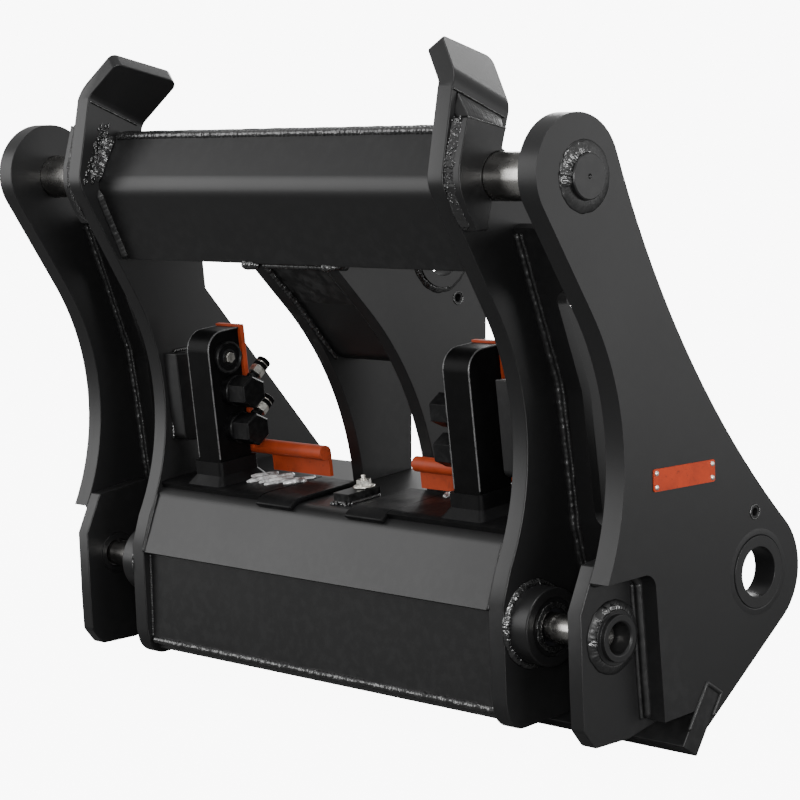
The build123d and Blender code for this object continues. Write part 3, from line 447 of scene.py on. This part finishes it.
def ring_weld(name, x, centre, inner, outer, height, seed, span=(0.0, 360.0), ripple=0.12, material=WELD):
    """Weld round a pin or bush that stands out of a plate: high on the pin and running out on the plate."""
    out = 1 if x > 0 else -1
    start, end = span
    whole = end - start > 359.9
    count = int(math.radians(end - start) * outer / RING_STEP)
    bm = bmesh.new()
    rings = []
    for i in range(count if whole else count + 1):
        angle = math.radians(start + (end - start) * i / count)
        turn = Vector((math.cos(angle), math.sin(angle), 0))
        swell = 1 + 2.2 * ripple * noise.noise(turn * 4 + Vector((0, 0, seed)))
        taper = 1.0 if whole else min(1.0, 0.15 + 0.14 * min(i, count - i))
        ring = []
        for k in range(RING_ACROSS + 1):
            t = k / RING_ACROSS
            run = inner + (outer - inner) * t * (1 + 0.5 * (swell - 1)) * (0.6 + 0.4 * taper)
            crescent = 1 + 0.35 * ripple * math.sin(2 * math.pi * i * RING_STEP / RING_RIPPLE + 5 * t * t)
            rise = height * taper * swell * crescent * math.cos(t * math.pi / 2) ** 0.75 - 0.4
            wobble = 0.8 * ripple * height * noise.noise(Vector((turn.x * 9, turn.y * 9, t * 3 + seed)))
            ring.append(bm.verts.new(at(x + out * (rise + wobble),
                                        centre[0] + run * turn.x, centre[1] + run * turn.y)))
        ring.append(bm.verts.new(at(x - out * 0.6, centre[0] + inner * turn.x, centre[1] + inner * turn.y)))
        rings.append(ring)
    skin(bm, rings, whole)
    return finish_mesh(name, bm, material)


def spatter(name, place, count, size, seed):
    """Drops beside a weld. place(u, v) is a point on the face, for u and v from 0 to 1."""
    rng = random.Random(seed)
    bm = bmesh.new()
    for i in range(count):
        centre = Matrix.Translation(place(rng.random(), rng.random()))
        radius = size * rng.uniform(0.4, 1.25) / 1000
        stretch = Matrix.Diagonal((0.8, rng.uniform(0.7, 1.3), rng.uniform(0.8, 1.8), 1.0))
        drop = bmesh.ops.create_icosphere(bm, subdivisions=2, radius=radius, matrix=centre @ stretch)
        for vert in drop["verts"]:
            vert.co += Vector((1, 1, 1)) * noise.noise(vert.co * 700) * radius * 0.35
    return finish_mesh(name, bm, WELD)


def turned(name, origin, axis, profile, material, segments=48, ridges=0.0, sharp=35.0):
    """A turned or hexagonal piece. Its profile's points are (radius, height along the axis)."""
    axis = axis.normalized()
    side = axis.orthogonal().normalized()
    other = axis.cross(side)
    bm = bmesh.new()
    columns = []
    for i in range(segments):
        angle = 2 * math.pi * i / segments
        turn = side * math.cos(angle) + other * math.sin(angle)
        knurl = 1 - ridges * (i % 2)
        columns.append([bm.verts.new(origin + (turn * radius * knurl + axis * height) / 1000)
                        for radius, height in profile])
    for a, b in zip(columns, columns[1:] + columns[:1]):
        for k in range(len(profile) - 1):
            bm.faces.new((a[k], b[k], b[k + 1], a[k + 1]))
    bmesh.ops.remove_doubles(bm, verts=bm.verts, dist=1e-7)
    return finish_mesh(name, bm, material, sharp)


def circle(x, centre, radius, count=72):
    """Points round an axis along x."""
    y, z = centre
    turns = [math.radians(360.0 * i / count) for i in range(count)]
    return [at(x, y + radius * math.cos(turn), z + radius * math.sin(turn)) for turn in turns]


# Faces of the plates, as distances from the middle plane
INNER_IN, INNER_OUT = 466.0, 501.0
OUTER_IN, OUTER_OUT = 675.0, 715.0
TILT_IN, TILT_OUT = 84.0, 114.0
PAD_OUT = 531.0
BOSS_FACE = 546.0

# Centres of the bores and keeper holes, as y and z
HOOK = (0.0, 0.0)
LOCK = (117.0, -744.0)
LIFT = (438.0, -666.0)
TILT = (272.0, -140.0)
LIFT_KEEPER = (428.0, -563.0)
TILT_KEEPER = (317.0, -219.0)

# Lines along which plates meet, as y and z
CROSS_UPPER = [(-17.0, 74.0), (-56.5, -11.0)]
CROSS_LOWER = [(-56.5, -25.0), (9.0, -156.0)]
PAD_FRONT = [(-72.0, 94.0), (-89.0, 18.0), (-89.5, -18.0), (-68.0, -64.0), (-50.0, -88.0)]
PAD_TOP = [(-72.0, 94.0), (15.0, 77.0)]
HORN_BEND_OUT = [(-76.0, 140.0), (40.0, 95.0)]
HORN_BEND_IN = [(-74.0, 139.0), (36.0, 97.0)]
COVER_FACE = [(76.0, -606.0), (41.0, -717.0)]
SHELL_FACE = [(57.5, -722.0), (63.0, -884.0)]
WEB_FACE = [(290.0, -868.0), (209.0, -592.0), (190.0, -470.0), (166.0, -342.0), (66.0, -92.0)]
CUT_WALL = [(64.0, -650.0), (158.0, -642.0), (176.0, -660.0), (203.0, -889.0)]
BAR_TOP = [(262.0, -914.0), (307.7, -839.0), (343.7, -860.6), (322.0, -897.0)]
TILT_FOOT = [(16.0, -153.0), (47.0, -153.0)]
TILT_WEB = [(24.0, -156.0), (104.0, -231.0), (198.0, -334.0)]
GUARD_FRONT = [(116.0, -505.0), (116.0, -337.0)]
GUARD_TOP = [(117.0, -335.0), (162.0, -329.0)]

PIN_END = [(36.9, -1.0), (36.9, 10.4), (35.0, 12.4), (4.4, 12.4), (4.0, 11.6), (0.0, 8.0)]


def round_welds(side, sx):
    """Welds round pins, bushes, bosses and keeper holes. The raised arcs are where the welder built up."""
    hook, lug, boss, tilt = sx * OUTER_OUT, sx * OUTER_IN, sx * INNER_OUT, sx * TILT_OUT
    ring_weld(f"weld_hook_pin_{side}", hook, HOOK, 36.0, 59.0, 5.0, 3, ripple=0.06, material=SMOOTH_WELD)
    ring_weld(f"weld_hook_pin_top_{side}", hook, HOOK, 36.0, 57.0, 9.5, 7, span=(78, 205), ripple=0.2)
    ring_weld(f"weld_lug_bush_{side}", lug, LOCK, 45.5, 62.0, 8.0, 4, ripple=0.07, material=SMOOTH_WELD)
    ring_weld(f"weld_lug_bush_top_{side}", lug, LOCK, 45.5, 60.0, 9.0, 9, span=(65, 200), ripple=0.2)
    ring_weld(f"weld_boss_{side}", boss, LOCK, 66.0, 77.0, 7.5, 5)
    ring_weld(f"weld_boss_face_{side}", sx * BOSS_FACE, LOCK, 33.0, 43.0, 3.5, 6, ripple=0.2)
    ring_weld(f"weld_lift_bush_{side}", sx * (OUTER_OUT - 0.4), LIFT, 62.0, 80.0, 1.3, 6,
              ripple=0.04, material=PAINT)
    ring_weld(f"weld_tilt_bush_{side}", tilt, TILT, 58.5, 69.0, 6.0, 8, ripple=0.14)
    turned(f"pin_end_{side}", at(hook, 0, 0), Vector((sx, 0, 0)), PIN_END, PAINT, 72)
    bead(f"weld_lift_keeper_{side}", circle(hook, LIFT_KEEPER, 12.0), 1.6, 2, closed=True)
    bead(f"weld_tilt_keeper_{side}", circle(tilt, TILT_KEEPER, 11.5), 1.6, 2, closed=True)


def crossbeam_spot(sx, u, v):
    """Where a drop lies on the inner plate, beside the end of the crossbeam."""
    return at(sx * (INNER_IN - 1), -38 - 44 * v + 26 * (u - 0.5), 98 - 112 * v)


def top_welds(side, sx):
    """Welds at the crossbeam's ends and round the wear pad, with their spatter."""
    inboard, outboard = sx * INNER_IN, sx * INNER_OUT
    fillet(f"weld_crossbeam_end_{side}", route(inboard, shifted(CROSS_UPPER, (-25.0, 10.0))),
           route(sx * (INNER_IN - 7), CROSS_UPPER), route(inboard, CROSS_UPPER), 0.6, 4.2, 11)
    fillet(f"weld_crossbeam_low_{side}", route(inboard, shifted(CROSS_LOWER, (-9.0, -5.0))),
           route(sx * (INNER_IN - 9), CROSS_LOWER), route(inboard, CROSS_LOWER), 1.5, 0.8, 12, SMOOTH_WELD)
    spatter(f"spatter_crossbeam_{side}", lambda u, v: crossbeam_spot(sx, u, v), 150, 2.4, 21)

    on_plate = route(outboard, shifted(PAD_FRONT, (-7.0, 2.0)))
    on_pad = route(sx * (INNER_OUT + 19), PAD_FRONT)
    fillet(f"weld_pad_front_{side}", on_plate, on_pad, route(outboard, PAD_FRONT), 1.0, 2.2, 13)
    spatter(f"spatter_pad_{side}",
            lambda u, v: share(on_plate, 0.75 * v).lerp(share(on_pad, 0.75 * v), u), 110, 1.7, 22)
    fillet(f"weld_pad_top_{side}", route(sx * (PAD_OUT - 2), PAD_TOP), route(outboard, HORN_BEND_OUT),
           route(outboard, PAD_TOP), 0.6, 0.5, 14, SMOOTH_WELD)
    bead(f"weld_pad_top_edge_{side}", route(sx * (INNER_OUT + 1), HORN_BEND_OUT), 2.2, 15)
    bead(f"weld_pad_rim_{side}", route(sx * (PAD_OUT - 1), PAD_TOP), 1.8, 16)
    bead(f"weld_horn_line_{side}", route(inboard, HORN_BEND_IN), 2.4, 17)


def long_welds(side, sx):
    """Welds along the plates, from the lower beam up to the tilt plates."""
    smooth = {"material": SMOOTH_WELD}
    bead(f"weld_cover_{side}", route(sx * (INNER_IN - 1), COVER_FACE), 3.2, 18, **smooth)
    bead(f"weld_shell_{side}", route(sx * (INNER_IN - 1), SHELL_FACE), 3.6, 19, **smooth)
    for name, x, away in (("inner", INNER_OUT, 1), ("outer", OUTER_IN, -1)):
        first = route(sx * (x + away * 3), WEB_FACE)
        second = route(sx * (x + away * 14), shifted(WEB_FACE, (-0.5, 0)))
        bead(f"weld_web_{name}_{side}", first, 7.5, 20, ripple=0.03, **smooth)
        bead(f"weld_web_{name}_second_{side}", second, 4.5, 23, ripple=0.03, **smooth)
    wall = route(sx * (OUTER_IN + 2), CUT_WALL)
    seam = route(sx * (OUTER_IN + 1), shifted(CUT_WALL[2:], (-15.0, 0)))
    bead(f"weld_cut_wall_{side}", wall, 8.5, 24, ripple=0.0, lumps=0.02, **smooth)
    bead(f"weld_cut_seam_{side}", seam, 4.0, 25, ripple=0.0, lumps=0.03, **smooth)
    bead(f"weld_stop_bar_{side}", route(sx * OUTER_OUT, BAR_TOP), 4.0, 27, ripple=0.0, lumps=0.04, **smooth)
    bead(f"weld_tilt_plate_{side}", route(sx * TILT_OUT, TILT_FOOT), 8.5, 28, lumps=0.45)
    bead(f"weld_tilt_front_{side}", [at(sx * 86, 14, -158), at(sx * 124, 12, -157)], 8.0, 29, lumps=0.5)
    bead(f"weld_tilt_web_{side}", route(sx * (TILT_IN - 1), TILT_WEB), 5.5, 30)
    bead(f"weld_guard_{side}", route(sx * (INNER_IN - 2), GUARD_FRONT), 4.0, 31)
    bead(f"weld_guard_top_{side}", route(sx * (INNER_IN - 2), GUARD_TOP), 3.5, 32)


def across(half, y, z):
    """A line from left to right."""
    return [at(-half, y, z), at(half, y, z)]


SIDES = (("right", 1), ("left", -1))

for side, sx in SIDES:
    round_welds(side, sx)
    top_welds(side, sx)
    long_welds(side, sx)

BEAM_HALF = INNER_IN - 3
WEB_HALF = TILT_IN - 2
bead("weld_crossbeam_top_front", across(BEAM_HALF, -15, 75), 7.5, 40)
bead("weld_crossbeam_top_rear", across(BEAM_HALF, -2, 78), 7.0, 41)
bead("weld_beam_foot", across(BEAM_HALF, 64, -889), 7.0, 42, lumps=0.3)
bead("weld_tilt_web_top", across(WEB_HALF, 20, -158), 5.5, 43, lumps=0.35, material=SMOOTH_WELD)


# Fittings on the towers, with places along the beam's top (s) and above it (h)

TOWER_FACE = 317.0
CAP_FACE = TOWER_FACE - 8.0
CAP_S, CAP_H = 79.0, 246.0
HEX_FACE = TOWER_FACE - 24
NIPPLE_X, NIPPLE_S, NIPPLE_LEAN = 284.0, 83.0, math.radians(52)
NIPPLE_HEIGHTS = (("low", 111.0), ("high", 182.0))

# Profiles of the turned pieces, as radius and height
CAP_RIM = [(30.8, -5), (31.4, -1), (30.2, 2.2), (27.6, 3.2), (25.4, 1.8), (24.2, -0.4)]
CAP_DISH = [(16.5, -0.4), (15.8, 1.6), (13.4, 2.4), (11.6, 1.4), (10.8, -0.4)]
CAP_BOLT_HEAD = [(11.0, 0.2), (11.0, 5.6), (9.9, 7.0), (0.0, 7.0)]
NIPPLE_NECK = [(9.2, 24), (9.2, 30), (11.5, 31), (11.5, 36), (9.2, 37.5), (9.2, 43.2)]
NIPPLE_TIP = [(11.6, 57.2), (13.8, 58.2), (13.8, 66), (12.9, 66.6), (12.9, 68), (13.8, 68.6),
              (13.8, 76.4), (12.6, 77.4), (8.0, 77.4), (6.2, 75.5)]
ADAPTER_WASHER = [(29.1, -8), (29.7, -7), (29.7, -3), (28.2, -1.6)]
KEEPER_WASHER = [(12, 0.2), (19.5, 0.2), (20.2, 1.6), (19.0, 3.2), (14.0, 4.2)]
GREASE_NIPPLE = [(5.2, 13.8), (5.2, 16.0), (3.4, 16.8), (3.0, 19.0), (4.2, 20.4), (3.6, 22.6), (0.0, 23.4)]


def tower_details(side, sx):
    inboard = Vector((-sx, 0, 0))
    face = beam(sx * CAP_FACE, CAP_S, CAP_H)
    turned(f"cap_rim_{side}", face, inboard, CAP_RIM, FITTING, 64)
    turned(f"cap_dish_{side}", face, inboard, CAP_DISH, FITTING, 48)
    turned(f"cap_bolt_head_{side}", face, inboard, CAP_BOLT_HEAD, ZINC, 6, sharp=20.0)
    lean = Vector((0, math.sin(NIPPLE_LEAN), math.cos(NIPPLE_LEAN)))
    lean.rotate(Matrix.Rotation(SLOPE, 3, "X"))
    for level, h in NIPPLE_HEIGHTS:
        root = beam(sx * NIPPLE_X, NIPPLE_S, h)
        turned(f"nipple_neck_{level}_{side}", root, lean, NIPPLE_NECK, FITTING, 40)
        turned(f"nipple_tip_{level}_{side}", root, lean, NIPPLE_TIP, BLACK, 72,
               ridges=0.045, sharp=25.0)
        hexagon = beam(sx * HEX_FACE, NIPPLE_S, h)
        turned(f"adapter_washer_{level}_{side}", hexagon, inboard, ADAPTER_WASHER,
               FITTING, 64)


RIM_FACES = (("inboard", 315.8), ("outboard", 377.2))
RIM_FRONT, RIM_REAR, RIM_LOW, RIM_TOP, RIM_CORNER = 36.8, 113.0, 56.0, 297.2, 37.2
CORNER_STEPS = 8


def tower_rims(side, sx):
    """The raised rim round each side face of a tower, in a lighter colour that paints on the rim's edge
    highlight.
    """
    for name, face in RIM_FACES:
        x = sx * face
        line = [beam(x, RIM_FRONT, RIM_LOW), beam(x, RIM_FRONT, RIM_TOP - RIM_CORNER)]
        for step in range(1, CORNER_STEPS + 1):
            angle = math.radians(180 - 90 * step / CORNER_STEPS)
            line.append(beam(x, RIM_FRONT + RIM_CORNER + RIM_CORNER * math.cos(angle),
                             RIM_TOP - RIM_CORNER + RIM_CORNER * math.sin(angle)))
        line.append(beam(x, RIM_REAR, RIM_TOP))
        # The rim's lighter colour is a painted highlight.
        rim = bead(f"tower_rim_highlight_{name}_{side}", line, 1.5, 60, ripple=0.0, lumps=0.0, material=RIM_HIGHLIGHT)


for side, sx in SIDES:
    tower_details(side, sx)
    tower_rims(side, sx)

# Folds in the rubber beside the towers, from (x, s) to (x, s)
MAT_TOP = 10.0
FOLDS = [((-316, 92), (-300, 122)), ((-306, 80), (-276, 142)), ((-286, 78), (-262, 126)),
         ((-278, 64), (-232, 146)), ((-250, 70), (-218, 128)), ((-226, 62), (-176, 148)),
         ((-196, 84), (-172, 122)), ((196, 126), (188, 152))]

for i, (start, end) in enumerate(FOLDS):
    low, high = (beam(x, s, MAT_TOP) for x, s in (start, end))
    bend = low.lerp(high, 0.5) + Vector((0.004 * (-1) ** i, 0, 0.0015))
    width = 6.6 - 1.1 * (i % 3)
    # The folds' light grey colour is a painted highlight.
    fold = bead(f"mat_fold_highlight_{i}", [low, bend, high], width, 50 + i, ripple=0.0, lumps=0.3, material=FOLD_HIGHLIGHT)

# The keeper block between the mats
KEEPER_TOP = beam(8.0, 104.0, 18.0)
UPRIGHT = (beam(0, 0, 1) - beam(0, 0, 0)).normalized()
turned("keeper_washer", KEEPER_TOP, UPRIGHT, KEEPER_WASHER, ZINC, 56)
turned("grease_nipple", KEEPER_TOP, UPRIGHT, GREASE_NIPPLE, ZINC, 24)
bead("weld_keeper_foot", [beam(-8, 43, 1), beam(24, 43, 1)], 5.0, 44)
bead("weld_keeper_side", [beam(30, 48, 1), beam(30, 120, 1)], 4.0, 45)
spatter("spatter_keeper", lambda u, v: beam(-14 + 50 * u, 30 + 12 * v, 1.5), 24, 2.6, 23)


# Nameplate on the right outer plate, with a blank face

PLATE_CENTRE = (244.0, -487.0)
PLATE_W, PLATE_H, PLATE_T, PLATE_R = 153.0, 37.0, 2.2, 4.0
PLATE_TILT = math.radians(2.3)
RIVET_INSET = 7
RIVET = [(4.6, 0.0), (4.5, 1.0), (3.6, 2.2), (2.0, 2.9), (0.0, 3.1)]

# Each corner's signs, and the angle at which its rounding starts
CORNERS = ((1, 1, 0), (-1, 1, 90), (-1, -1, 180), (1, -1, 270))


def on_nameplate(u, v, out):
    y = PLATE_CENTRE[0] + u * math.cos(PLATE_TILT) - v * math.sin(PLATE_TILT)
    z = PLATE_CENTRE[1] + u * math.sin(PLATE_TILT) + v * math.cos(PLATE_TILT)
    return at(OUTER_OUT + out, y, z)


def nameplate():
    outline = []
    for cu, cv, first in CORNERS:
        for step in range(5):
            angle = math.radians(first + 22.5 * step)
            outline.append((cu * (PLATE_W / 2 - PLATE_R) + PLATE_R * math.cos(angle),
                            cv * (PLATE_H / 2 - PLATE_R) + PLATE_R * math.sin(angle)))
    bm = bmesh.new()
    levels = ((1.0, -0.2), (1.0, PLATE_T - 0.5), (0.994, PLATE_T))
    skin(bm, [[bm.verts.new(on_nameplate(u * k, v * k, out)) for u, v in outline] for k, out in levels])
    finish_mesh("nameplate", bm, PLATE_ORANGE, sharp=30.0)
    rivet_u, rivet_v = PLATE_W / 2 - RIVET_INSET, PLATE_H / 2 - RIVET_INSET
    for i, (cu, cv, first) in enumerate(CORNERS):
        foot = on_nameplate(cu * rivet_u, cv * rivet_v, PLATE_T - 0.3)
        turned(f"nameplate_rivet_{i}", foot, Vector((1, 0, 0)), RIVET, ZINC, 28)


nameplate()


# Camera, light and floor

CAMERA_PLACE = (3473.752, -2986.889, -2.437)
CAMERA_YAW = math.radians(43.236)
CAMERA_PITCH = math.radians(4.8827)
CAMERA_LENS = 117.0


def place_camera():
    data = bpy.data.cameras.new("camera")
    data.sensor_fit = "HORIZONTAL"
    data.sensor_width = 36.0
    data.lens = CAMERA_LENS
    data.clip_end = 100.0
    camera = bpy.data.objects.new("camera", data)
    camera.location = at(*CAMERA_PLACE)
    level = math.cos(CAMERA_PITCH)
    look = Vector((-math.cos(CAMERA_YAW) * level, math.sin(CAMERA_YAW) * level, -math.sin(CAMERA_PITCH)))
    camera.rotation_euler = look.to_track_quat("-Z", "Y").to_euler()
    bpy.context.scene.collection.objects.link(camera)
    bpy.context.scene.camera = camera


# What the camera sees of the bare studio is brighter than the light that it gives
WORLD_LIGHT = 0.62
BACKDROP = 9.0
FLOOR_LIFT = 8.9

# Name, place, what it points at, width, height and power
CENTRE = (0.0, 0.0, 0.6)
SOFTBOXES = (
    ("front_left", (-3.6, -3.2, 1.5), CENTRE, 3.0, 3.2, 112),
    ("rear_right", (3.9, 3.2, 1.1), (0.6, 0.2, 0.6), 2.6, 2.4, 42),
    ("side", (4.8, -0.8, 0.9), CENTRE, 1.6, 1.6, 110),
    ("fill", (3.2, -3.4, 1.0), CENTRE, 1.1, 1.1, 110),
    ("top", (1.0, -1.4, 4.2), CENTRE, 2.2, 2.2, 110),
    ("back", (-2.5, 4.5, 3.0), CENTRE, 3.0, 2.0, 150),
)


def softbox(name, location, target, width, height, power):
    data = bpy.data.lights.new(name, "AREA")
    data.shape = "RECTANGLE"
    data.size = width
    data.size_y = height
    data.energy = power
    obj = bpy.data.objects.new(name, data)
    obj.location = location
    obj.rotation_euler = (Vector(target) - Vector(location)).to_track_quat("-Z", "Y").to_euler()
    bpy.context.scene.collection.objects.link(obj)


def studio():
    world = bpy.data.worlds.new("studio")
    bpy.context.scene.world = world
    world.use_nodes = True
    tree = world.node_tree
    light = tree.nodes["Background"]
    light.inputs["Color"].default_value = (1.0, 1.0, 1.0, 1.0)
    light.inputs["Strength"].default_value = WORLD_LIGHT
    backdrop = tree.nodes.new("ShaderNodeBackground")
    backdrop.inputs["Color"].default_value = (1.0, 1.0, 1.0, 1.0)
    backdrop.inputs["Strength"].default_value = BACKDROP
    seen = tree.nodes.new("ShaderNodeLightPath").outputs["Is Camera Ray"]
    choice = tree.nodes.new("ShaderNodeMixShader")
    tree.links.new(seen, choice.inputs["Fac"])
    tree.links.new(light.outputs["Background"], choice.inputs[1])
    tree.links.new(backdrop.outputs["Background"], choice.inputs[2])
    tree.links.new(choice.outputs["Shader"], tree.nodes["World Output"].inputs["Surface"])
    for box in SOFTBOXES:
        softbox(*box)
    bm = bmesh.new()
    bmesh.ops.create_grid(bm, x_segments=1, y_segments=1, size=40.0)
    mesh = bpy.data.meshes.new("floor")
    bm.to_mesh(mesh)
    bm.free()
    t = Tree("floor_white")
    dark, light = (0.15, 0.15, 0.15), (0.16, 0.16, 0.16)
    t.put("Base Color", t.colours(t.noise(3.0, 3.0), [(0.3, dark), (0.7, light)]))
    t.put("Roughness", 0.9)
    t.put("Specular IOR Level", 0.1)
    t.put("Emission Color", (1.0, 1.0, 1.0))
    seen = t.nodes.new("ShaderNodeLightPath").outputs["Is Camera Ray"]
    t.put("Emission Strength", t.product(seen, FLOOR_LIFT))
    mesh.materials.append(t.material)
    floor = bpy.data.objects.new("floor", mesh)
    bpy.context.scene.collection.objects.link(floor)


place_camera()
studio()
